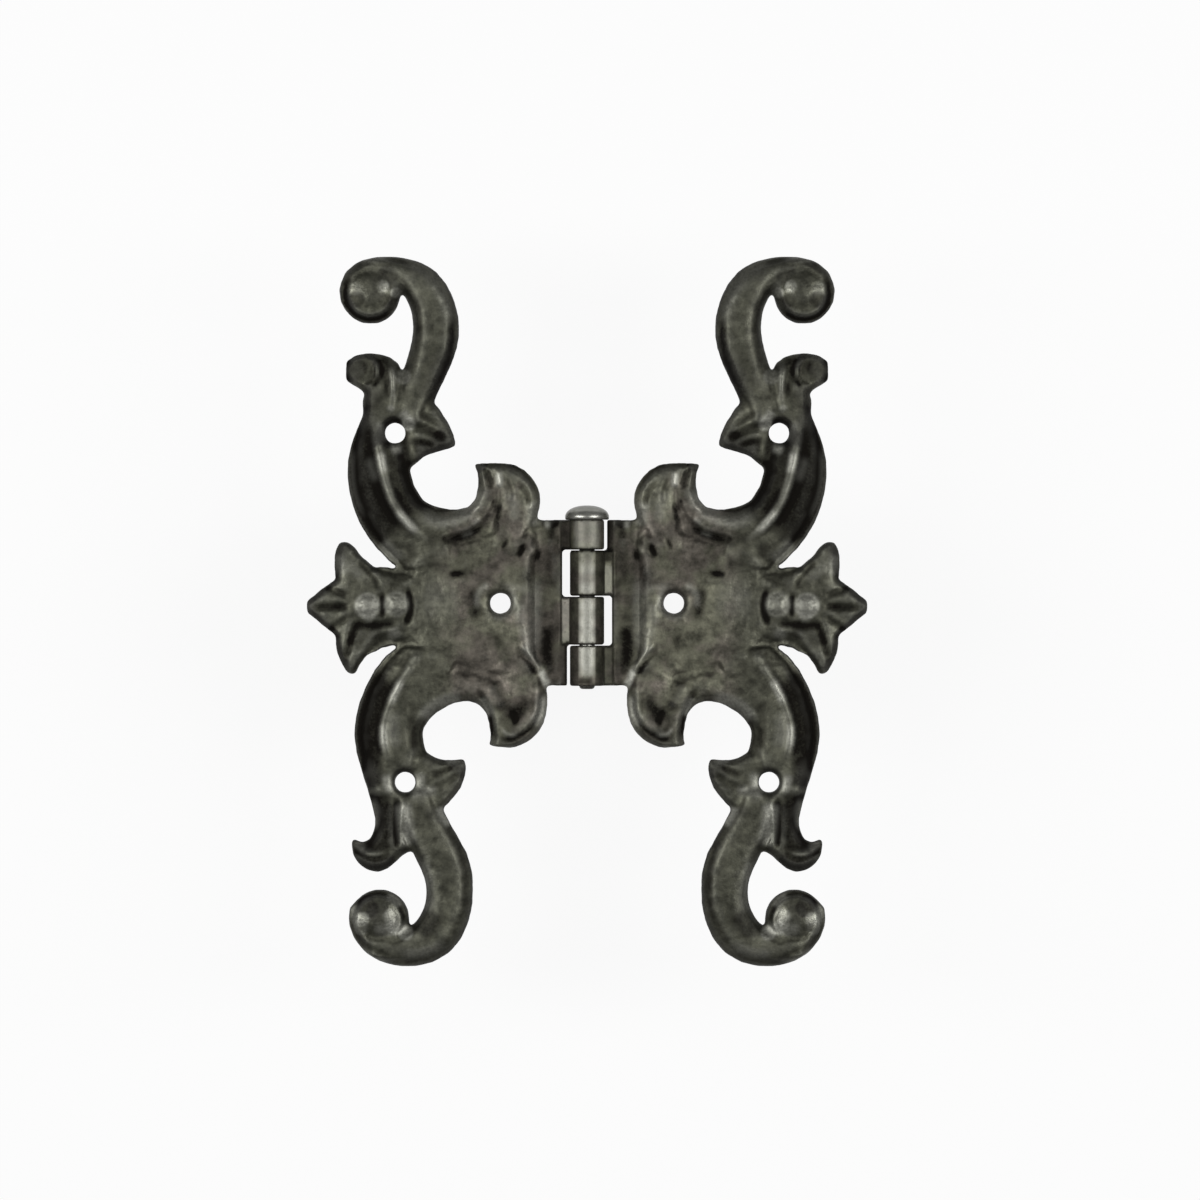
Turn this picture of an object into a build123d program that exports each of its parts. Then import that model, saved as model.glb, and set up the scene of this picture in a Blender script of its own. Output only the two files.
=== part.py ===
from build123d import *
import os
from math import cos, radians, sin, tan

# Ornament drawn on a grid of squares counted out from the pin and up from the middle
ornament_height = 110.0
square = ornament_height / 100

# Heights of the casting above its flat back
plate_thickness = 1.3
scroll_height = 2.9
arm_height = 2.8
band_height = 2.5
body_height = 2.3
lobe_height = 2.6
leaf_height = 2.2

# Slope of the bevels along both sides of a raised stroke, and facets between two drawn sections
bevel_angle = 43.0
facets_between_sections = 2

# Screw holes
screw_hole_diameter = 3.2
screw_head_diameter = 4.7
screw_head_angle = 90.0

# Barrel and pin
barrel_diameter = 5.3
knuckle_lengths = [4.6, 7.0, 7.4, 6.2]
knuckle_gap = 0.15
barrel_rise = 14.2
pin_diameter = 2.4
pin_clearance = 0.06
pin_head_diameter = 6.8
pin_head_length = 2.2
head_shoulder_share = 0.74
head_crown_share = 0.38
pin_tip_length = 0.5

# Edge of a leaf beside the other leaf's knuckles, an end knuckle first
end_cut_back = 0.45
middle_cut_back = 1.2
wing_width = 5.2
web_angle = 20.0
web_heel = 0.6

# Worked out from the sizes above
barrel_radius = barrel_diameter / 2
pin_height = pin_head_diameter / 2
bore_radius = pin_diameter / 2 + pin_clearance
wing_end = barrel_radius + middle_cut_back + wing_width

# Rails of the raised strokes, a pair of points for each section from root to tip
UPPER_SCROLL = [
    ((28.4, 26.7), (22.3, 26.3)),
    ((27.2, 30.6), (21.2, 30.4)),
    ((25.4, 35.4), (18.8, 35.6)),
    ((24.5, 39.6), (18.0, 40.1)),
    ((25.0, 43.0), (19.0, 44.5)),
    ((26.7, 45.7), (22.1, 48.5)),
    ((29.0, 46.6), (27.6, 50.0)),
    ((31.6, 46.4), (32.6, 49.1)),
    ((33.1, 45.2), (34.8, 46.2)),
    ((33.6, 43.4), (34.6, 43.2)),
]
UPPER_ARM = [
    ((31.6, 30.0), (26.6, 35.2)),
    ((31.7, 27.3), (25.8, 30.1)),
    ((33.3, 23.2), (25.2, 23.6)),
    ((33.7, 19.0), (24.8, 19.0)),
    ((32.9, 14.6), (22.9, 15.4)),
    ((30.4, 9.9), (20.0, 12.4)),
    ((26.1, 5.8), (17.6, 7.3)),
]
UPPER_HOOK = [
    ((33.9, 32.6), (33.9, 35.2)),
    ((32.6, 31.7), (32.2, 36.2)),
    ((31.3, 30.6), (29.4, 36.3)),
    ((31.3, 28.6), (26.6, 34.9)),
    ((31.5, 26.6), (25.6, 30.0)),
]
UPPER_SIDE_LEAF = [
    ((27.2, 20.2), (25.9, 29.2)),
    ((24.6, 20.4), (21.8, 29.6)),
    ((23.0, 21.8), (20.6, 28.2)),
    ((20.7, 22.6), (19.4, 26.3)),
    ((18.6, 23.3), (18.6, 23.9)),
]
UPPER_BAND = [
    ((24.6, 18.5), (27.3, 15.7)),
    ((22.8, 15.4), (24.6, 11.6)),
    ((19.0, 14.4), (19.0, 10.1)),
    ((16.3, 15.0), (14.4, 11.9)),
    ((15.3, 17.9), (12.0, 16.4)),
    ((15.8, 20.8), (13.4, 20.8)),
]
UPPER_LOBE = [
    ((14.4, 20.9), (11.6, 20.9)),
    ((13.6, 18.5), (8.7, 19.8)),
    ((13.1, 15.7), (6.8, 17.2)),
    ((13.4, 12.9), (6.7, 14.6)),
    ((13.9, 10.1), (7.3, 12.4)),
    ((15.1, 7.3), (7.0, 9.4)),
]
LOWER_SCROLL = [
    ((27.2, -25.5), (21.3, -25.2)),
    ((26.4, -29.6), (19.3, -29.8)),
    ((24.4, -34.2), (16.7, -34.6)),
    ((22.8, -37.8), (16.1, -38.5)),
    ((22.8, -41.2), (16.5, -43.0)),
    ((24.3, -43.9), (19.4, -48.0)),
    ((26.8, -45.2), (25.0, -50.0)),
    ((30.0, -44.8), (30.4, -48.6)),
    ((31.9, -43.2), (33.3, -45.0)),
    ((32.2, -41.4), (33.4, -41.4)),
]
LOWER_ARM = [
    ((30.0, -31.6), (26.0, -34.2)),
    ((29.9, -28.8), (25.0, -29.8)),
    ((31.1, -24.4), (24.2, -24.6)),
    ((32.5, -19.6), (23.0, -19.4)),
    ((32.6, -15.1), (23.0, -15.8)),
    ((30.6, -9.4), (20.0, -11.6)),
    ((26.6, -4.9), (17.2, -5.7)),
]
LOWER_HOOK = [
    ((33.1, -31.8), (33.1, -33.0)),
    ((32.0, -32.4), (31.8, -35.8)),
    ((30.6, -32.0), (29.0, -36.6)),
    ((29.8, -30.0), (26.6, -34.9)),
    ((29.4, -28.0), (24.6, -33.6)),
]
LOWER_SIDE_LEAF = [
    ((25.3, -19.4), (24.7, -28.6)),
    ((22.7, -19.8), (21.3, -28.4)),
    ((21.0, -20.7), (19.4, -26.8)),
    ((19.2, -20.9), (17.9, -24.9)),
    ((17.4, -20.8), (17.0, -22.0)),
]
LOWER_BAND = [
    ((22.7, -19.5), (26.6, -18.8)),
    ((23.1, -16.6), (27.2, -13.6)),
    ((21.2, -14.2), (24.0, -9.8)),
    ((18.0, -12.7), (18.4, -8.0)),
    ((14.9, -13.3), (12.4, -9.4)),
    ((13.7, -16.2), (10.4, -14.2)),
    ((13.7, -18.8), (11.6, -19.0)),
]
LOWER_LOBE = [
    ((14.0, -18.8), (10.8, -19.2)),
    ((12.7, -17.4), (7.9, -18.0)),
    ((12.3, -15.0), (6.2, -15.8)),
    ((12.3, -12.5), (5.6, -12.6)),
    ((12.8, -9.0), (5.9, -9.6)),
    ((13.7, -6.1), (6.5, -7.4)),
]
FINIAL_TOP = [
    ((28.5, 0.4), (34.6, 0.2)),
    ((29.4, 5.6), (35.4, 4.9)),
    ((31.2, 7.2), (35.6, 6.4)),
    ((32.6, 8.9), (35.4, 8.6)),
    ((33.7, 9.8), (34.8, 9.8)),
]
FINIAL_SIDE = [
    ((22.0, 3.6), (22.0, -2.4)),
    ((27.0, 6.1), (27.0, -4.7)),
    ((32.0, 6.0), (32.0, -5.0)),
    ((36.0, 4.1), (36.0, -2.9)),
    ((39.4, 1.5), (39.4, -0.1)),
]
FINIAL_BOTTOM = [
    ((26.8, 1.4), (34.6, 0.6)),
    ((28.7, -5.0), (35.4, -4.5)),
    ((30.6, -5.8), (34.9, -6.4)),
    ((32.0, -7.4), (34.2, -8.0)),
    ((32.6, -8.7), (33.4, -8.8)),
]
BODY_RISE = [
    ((25.4, 3.4), (25.4, -1.6)),
    ((22.6, 8.2), (22.6, -6.4)),
    ((18.0, 9.8), (18.0, -7.9)),
    ((12.8, 11.6), (12.8, -9.2)),
    ((7.2, 12.0), (7.2, -9.8)),
]
BODY_EDGE = [
    (26.8, 6.3), (24.6, 8.4), (20.7, 10.6), (13.7, 12.9), (7.6, 12.9), (6.8, 12.9),
    (6.8, -9.9), (8.0, -10.4), (13.7, -12.0), (19.3, -12.5), (22.8, -12.5), (24.9, -11.1), (26.8, -4.8),
]

# Round features of the ornament, by the middle of each
UPPER_EYE = (30.5, 44.7)
LOWER_EYE = (29.2, -43.3)
eye_radius = 4.6
eye_sides = 20
FINIAL_BEADS = [(26.4, 1.1), (30.6, 0.9)]
finial_bead_radius = 2.7
finial_bead_sides = 12

# Middle of each screw hole, and height of the surface that its countersink opens on
SCREW_HOLES = [((27.0, 25.1), arm_height), ((12.2, 1.2), body_height), ((25.6, -24.0), arm_height)]


# Points and sections
def on_grid(point):
    return Vector(point[0] * square, point[1] * square, 0)


# Gabled section across a stroke, from rail to rail
def stroke_section(start, end):
    width = (end - start).length
    across = (end - start).normalized()
    ridge = plate_thickness + width / 2 * tan(radians(bevel_angle))
    profile = [
        (0, -plate_thickness),
        (0, plate_thickness),
        (width / 2, ridge),
        (width, plate_thickness),
        (width, -plate_thickness),
    ]
    corners = [start + across * along + Vector(0, 0, rise) for along, rise in profile]
    return Wire.make_polygon(corners, close=True)


# Smooth rail through drawn points, with one point of it at each section
def rail_points(points):
    spans = len(points) - 1
    drawn = [place / spans for place in range(spans + 1)]
    rail = Edge.make_spline([on_grid(point) for point in points], parameters=drawn)
    count = spans * facets_between_sections
    places = [place / count for place in range(count + 1)]
    return [rail.position_at(place, position_mode=PositionMode.PARAMETER) for place in places]


# Stroke with bevelled sides and a flat crest, on the flat back
def stroke(rails, height):
    first_rail = rail_points([first for first, second in rails])
    second_rail = rail_points([second for first, second in rails])
    sections = [stroke_section(start, end) for start, end in zip(first_rail, second_rail)]
    standing = Solid.make_loft(sections, ruled=True).split(Plane.XY, keep=Keep.TOP)
    return standing.split(Plane.XY.offset(height), keep=Keep.BOTTOM)


# Round bead cut in facets, with the same bevel and a flat crest
def bead(centre, radius, height, sides):
    rise = height - plate_thickness
    foot = extrude(RegularPolygon(radius, sides), plate_thickness)
    crest_radius = radius - rise / tan(radians(bevel_angle))
    bevel = loft([
        Pos(0, 0, plate_thickness) * RegularPolygon(radius, sides),
        Pos(0, 0, height) * RegularPolygon(crest_radius, sides),
    ], ruled=True)
    return Pos(*on_grid(centre)) * (foot + bevel)


# Raised ornament of one leaf on the positive side of the pin, joined from the body outwards
def ornament():
    strokes = [
        (BODY_RISE, body_height),
        (FINIAL_TOP, leaf_height),
        (FINIAL_SIDE, leaf_height),
        (FINIAL_BOTTOM, leaf_height),
        (UPPER_BAND, band_height),
        (LOWER_BAND, band_height),
        (UPPER_LOBE, lobe_height),
        (LOWER_LOBE, lobe_height),
        (UPPER_ARM, arm_height),
        (LOWER_ARM, arm_height),
        (UPPER_SIDE_LEAF, leaf_height),
        (LOWER_SIDE_LEAF, leaf_height),
        (UPPER_HOOK, lobe_height),
        (LOWER_HOOK, lobe_height),
        (UPPER_SCROLL, scroll_height),
        (LOWER_SCROLL, scroll_height),
    ]
    beads = [(centre, finial_bead_radius, arm_height, finial_bead_sides) for centre in FINIAL_BEADS]
    beads += [(centre, eye_radius, scroll_height, eye_sides) for centre in (UPPER_EYE, LOWER_EYE)]
    outline = Polyline([on_grid(point) for point in BODY_EDGE], close=True)
    whole = extrude(make_face(outline), plate_thickness)
    for rails, height in strokes:
        whole = whole.fuse(stroke(rails, height))
    for centre, radius, height, sides in beads:
        whole = whole.fuse(bead(centre, radius, height, sides))
    return whole


# Cutter for a screw hole whose countersink has the head's size at the surface
def screw_cut(surface):
    hole_radius = screw_hole_diameter / 2
    slope = tan(radians(screw_head_angle / 2))
    seat = surface - (screw_head_diameter / 2 - hole_radius) / slope
    reach = surface + plate_thickness
    mouth = hole_radius + (reach - seat) * slope
    with BuildSketch(Plane.XZ) as half:
        with BuildLine():
            Polyline(
                (0, -plate_thickness),
                (hole_radius, -plate_thickness),
                (hole_radius, seat),
                (mouth, reach),
                (0, reach),
                close=True,
            )
        make_face()
    return revolve(half.sketch, Axis.Z)


def screw_cuts():
    return [Pos(*on_grid(centre)) * screw_cut(surface) for centre, surface in SCREW_HOLES]


# Lengthwise places of the knuckles, from the head end down
def knuckle_spans():
    top = barrel_rise
    spans = []
    for length in knuckle_lengths:
        spans.append((top - length, top))
        top -= length + knuckle_gap
    return spans


def along_pin(face, span):
    low, high = span
    return Pos(0, high, 0) * extrude(Plane.XZ * face, high - low)


# One knuckle with the web that joins it to the leaf
def knuckle(span):
    web = Polyline(
        (web_heel, 0),
        (wing_end, 0),
        (wing_end, plate_thickness),
        (barrel_radius + middle_cut_back, plate_thickness),
        (barrel_radius * cos(radians(web_angle)), pin_height - barrel_radius * sin(radians(web_angle))),
        (0, pin_height),
        close=True,
    )
    face = make_face(web) + Pos(0, pin_height) * Circle(barrel_radius)
    return along_pin(face, span)


# Plain edge of the leaf beside one of the other leaf's knuckles
def wing(span, cut_back):
    inner = barrel_radius + cut_back
    face = Pos((inner + wing_end) / 2, plate_thickness / 2) * Rectangle(wing_end - inner, plate_thickness)
    return along_pin(face, span)


def inner_edge(first_knuckle):
    spans = knuckle_spans()
    last = len(spans) - 1
    pieces = []
    for place, (low, high) in enumerate(spans):
        if place % 2 == first_knuckle:
            pieces.append(knuckle((low, high)))
            continue
        cut_back = end_cut_back if place in (0, last) else middle_cut_back
        reach_low = low if place == last else low - knuckle_gap
        reach_high = high if place == 0 else high + knuckle_gap
        pieces.append(wing((reach_low, reach_high), cut_back))
    return pieces


# Bore from past the head to past the tip
def pin_bore():
    face = Pos(0, pin_height) * Circle(bore_radius)
    past_tip = knuckle_spans()[-1][0] - pin_tip_length
    past_head = barrel_rise + pin_head_length
    return along_pin(face, (past_tip, past_head))


# One leaf on the positive side of the pin
def leaf(first_knuckle):
    whole = ornament()
    for piece in inner_edge(first_knuckle):
        whole = whole.fuse(piece)
    for cutter in screw_cuts():
        whole = whole.cut(cutter)
    return whole.cut(pin_bore())


# Pin with a crowned head seated on the first knuckle and a chamfered tip
def hinge_pin():
    shank = pin_diameter / 2
    head = pin_head_diameter / 2
    tip = knuckle_spans()[-1][0] - pin_tip_length
    top = barrel_rise + pin_head_length
    with BuildSketch(Plane.XZ) as half:
        with BuildLine():
            Polyline(
                (0, top),
                (0, tip),
                (shank - pin_tip_length, tip),
                (shank, tip + pin_tip_length),
                (shank, barrel_rise),
                (head, barrel_rise),
                (head * head_shoulder_share, barrel_rise + pin_head_length * head_shoulder_share),
                (head * head_crown_share, top),
                close=True,
            )
        make_face()
    return Pos(0, 0, pin_height) * Rot(-90, 0, 0) * revolve(half.sketch, Axis.Z)


os.makedirs("parts", exist_ok=True)
export_step(leaf(1), "parts/right_leaf.step")
export_step(mirror(leaf(0), about=Plane.YZ), "parts/left_leaf.step")
export_step(hinge_pin(), "parts/hinge_pin.step")
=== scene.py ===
"""Looks of an ornamental cabinet hinge: two scrolled leaves of antique iron and a domed pin."""
import logging
import math
from dataclasses import dataclass, field
from enum import Enum

import bmesh
import bpy
import numpy as np
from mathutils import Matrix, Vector, noise


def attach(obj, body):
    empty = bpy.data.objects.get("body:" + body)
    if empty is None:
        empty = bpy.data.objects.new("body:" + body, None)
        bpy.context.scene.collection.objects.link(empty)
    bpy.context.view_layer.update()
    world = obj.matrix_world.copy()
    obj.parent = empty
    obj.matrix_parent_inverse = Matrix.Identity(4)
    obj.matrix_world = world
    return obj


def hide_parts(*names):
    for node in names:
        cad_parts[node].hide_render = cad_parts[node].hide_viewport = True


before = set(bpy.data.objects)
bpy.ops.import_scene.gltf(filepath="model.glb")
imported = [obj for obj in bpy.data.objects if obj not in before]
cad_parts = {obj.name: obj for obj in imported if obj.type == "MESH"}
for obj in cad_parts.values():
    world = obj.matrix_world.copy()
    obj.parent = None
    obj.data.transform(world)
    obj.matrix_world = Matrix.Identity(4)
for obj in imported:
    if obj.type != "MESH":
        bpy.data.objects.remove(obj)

log = logging.getLogger("hinge")

MM = 0.001
# Where the pin's axis meets the middle of the outline in the picture, and millimetres a pixel.
PICTURE_PIN = (587.0, 611.5)
PICTURE_SCALE = 0.15493
# Millimetres over the back plane: the plate's front, the floor of the deepest cut, the pin's axis.
PLATE_TOP = 1.3
CUT_FLOOR = 1.35
PIN_HEIGHT = 3.4
# Millimetres out from the pin at which the knuckle webs end and the ornament starts.
LEAF_START = 4.4

WHITE = (1.0, 1.0, 1.0, 1.0)

Array = np.ndarray
Colour = tuple[float, float, float, float]
Line = tuple[tuple[float, float], ...]
Titles = dict[str, tuple[str, ...]]
Inputs = dict[str | int, object]
Socket = bpy.types.NodeSocket


class Side(Enum):
    """Which side of the pin a leaf lies on, as the sign of its x."""

    LEFT = -1
    RIGHT = 1


class Section(Enum):
    """Shape that a carving stroke has across its line."""

    ROUND = "round"
    VEE = "vee"
    LEVEL = "hollow filled up to a level"
    OUTER = "face falling away on the left of the line"
    INNER = "face falling away on the right of the line"


ROUND, VEE, LEVEL, OUTER, INNER = Section


def ramp(value: Array, start: float, end: float) -> Array:
    """Eased share, which is 0 up to start and 1 from end on.

    Args:
        value: The values.
        start: Value that gives 0, the larger one for a share that falls as the value grows.
        end: Value that gives 1.

    Returns:
        The share for each value.
    """
    share = np.clip((value - start) / (end - start), 0.0, 1.0)
    return share * share * (3.0 - 2.0 * share)


def picture(px: float, py: float) -> tuple[float, float]:
    """Place on a leaf of a point measured in the picture of the left leaf.

    Args:
        px: Pixels from the left.
        py: Pixels from the top.

    Returns:
        Millimetres out from the pin and up from the middle.
    """
    return (PICTURE_PIN[0] - px) * PICTURE_SCALE, (PICTURE_PIN[1] - py) * PICTURE_SCALE


@dataclass(frozen=True)
class Stroke:
    """One carving stroke: a line on the leaf, the shape across it, and the tone it paints.

    A positive depth raises the surface and a negative one cuts it. A positive tone paints the
    metal bright, as worn metal and as a painted highlight, and a negative one paints it black,
    as patina in the cuts and as painted shade on the falling faces. Fade is the share of the line
    over which each end dies away, and hold is how many widths a face reaches.
    """

    path: Line
    width: float
    depth: float
    tone: float = 0.0
    fade: float = 0.2
    section: Section = ROUND
    hold: float = 1.6

    def line(self) -> Array:
        """Smooth line through the drawn points, its corners cut three times.

        Returns:
            Millimetres out from the pin and up from the middle, a row for each point.
        """
        line = np.array([picture(*point) for point in self.path])
        for _ in range(3):
            near = 0.75 * line[:-1] + 0.25 * line[1:]
            far = 0.25 * line[:-1] + 0.75 * line[1:]
            between = np.stack([near, far], axis=1).reshape(-1, 2)
            line = np.vstack([line[:1], between, line[-1:]])
        return line

    def across(self, distance: Array, left: Array) -> Array:
        """Share of the stroke's depth at a distance from its line.

        Args:
            distance: Millimetres from the line.
            left: True for the places on the left of the line.

        Returns:
            The share, from 0 to 1.
        """
        away = distance / (self.width / 2)
        if self.section is ROUND:
            return (1.0 - np.clip(away, 0.0, 1.0) ** 2) ** 2
        if self.section is LEVEL:
            return ramp(away, 1.0, 0.5)
        if self.section is VEE:
            return 1.0 - np.clip(away, 0.0, 1.0)
        beyond = np.clip((self.hold - distance / self.width) / 0.4, 0.0, 1.0)
        face = np.clip(distance / self.width, 0.0, 1.0) * beyond
        return np.where(left if self.section is OUTER else ~left, face, 0.0)

    def weight(self, places: Array) -> Array:
        """Share of the stroke at each place.

        Args:
            places: Millimetres out from the pin and up from the middle, a row for each place.

        Returns:
            The share at each place, from 0 to 1.
        """
        line = self.line()
        start, step = line[:-1], np.diff(line, axis=0)
        length = np.maximum(np.hypot(step[:, 0], step[:, 1]), 1e-6)
        along = np.concatenate([[0.0], np.cumsum(length)])
        reach = self.width * self.hold
        low, high = line.min(axis=0) - reach, line.max(axis=0) + reach
        near = np.flatnonzero(np.all((places > low) & (places < high), axis=1))
        share = np.zeros(len(places))
        if len(near) == 0:
            return share
        offset = places[near][:, None, :] - start[None]
        part = np.clip((offset * step).sum(axis=2) / length ** 2, 0.0, 1.0)
        gap = offset - part[..., None] * step
        away = np.hypot(gap[..., 0], gap[..., 1])
        best = away.argmin(axis=1)
        rows = np.arange(len(near))
        turn = step[best, 0] * offset[rows, best, 1] - step[best, 1] * offset[rows, best, 0]
        place = (along[best] + part[rows, best] * length[best]) / along[-1]
        ends = ramp(np.minimum(place, 1.0 - place), 0.0, self.fade)
        share[near] = self.across(away[rows, best], turn > 0) * ends
        return share


@dataclass(frozen=True)
class Spot:
    """Round spot with a painted highlight where its tone is positive and painted shade where it is negative.
    """

    centre: tuple[float, float]
    radius: float
    tone: float

    def away(self, places: Array) -> Array:
        """Millimetres from the spot's centre to each place."""
        return np.hypot(*(places - np.array(picture(*self.centre))).T)

    def held(self, places: Array) -> Array:
        """Share of the spot at each place."""
        return ramp(self.away(places) / self.radius, 1.18, 0.86)


@dataclass(frozen=True)
class Boss(Spot):
    """Round boss or volute eye: a dome that stands up from its own rim."""

    rim: float
    crown: float
    ring: float = 0.0
    polish: float = 0.0

    def height(self, places: Array) -> Array:
        """Height of the dome over the back plane at each place."""
        away = np.clip(self.away(places) / self.radius, 0.0, 1.2)
        return self.rim + (self.crown - self.rim) * (1.0 - away ** 2)

    def shadow(self, places: Array) -> Array:
        """Share of painted shade in the ring round the dome at each place."""
        beyond = self.away(places) - self.radius
        return self.ring * ramp(beyond, -0.5, 0.0) * ramp(beyond, 1.9, 1.4)


# Lines and strokes are drawn in pixels of the picture of the left leaf.
UPPER_ARM_CREST = (
    (372, 410), (376, 432), (380, 456), (385, 480), (393, 502), (404, 518), (418, 533), (436, 547),
)
LOWER_ARM_CREST = ((424, 648), (406, 674), (394, 695), (386, 714), (383, 733), (386, 752), (391, 768))
UPPER_SCROLL_BACK = (
    (411, 404), (420, 392), (433, 360), (437, 325), (432, 296), (418, 275), (398, 262), (376, 258),
)
LOWER_SCROLL_BACK = ((426, 820), (440, 838), (448, 868), (449, 898), (440, 922), (424, 938))
UPPER_SCROLL_VEIN = ((404, 394), (415, 366), (420, 342), (420, 318), (414, 299), (402, 283), (386, 273))
UPPER_SCROLL_RIM = (
    (436, 388), (443, 372), (449, 355), (452, 335), (451, 315), (445, 297),
    (434, 281), (420, 269), (407, 263), (390, 260), (374, 260),
)
LOWER_SCROLL_RIM = (
    (442, 817), (455, 838), (464, 862), (466, 888), (462, 915),
    (449, 939), (430, 955), (403, 961), (383, 957),
)
UPPER_EYE_RIM = (
    (354, 273), (347, 284), (344, 296), (348, 308), (356, 317),
    (367, 321), (379, 320), (389, 314), (395, 305),
)
LOWER_EYE_RIM = (
    (404, 914), (399, 902), (390, 895), (379, 892), (367, 894),
    (358, 901), (353, 912), (352, 924), (358, 936), (368, 947),
)
UPPER_EYE_HOLLOW = ((400, 298), (397, 285), (387, 275), (373, 270), (360, 272))
LOWER_EYE_HOLLOW = ((406, 930), (402, 940), (390, 946), (376, 946), (364, 940))
FINIAL_EDGE = (
    (352, 543), (340, 551), (335, 576), (319, 590), (307, 606),
    (319, 620), (335, 637), (340, 656), (352, 673),
)
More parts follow.
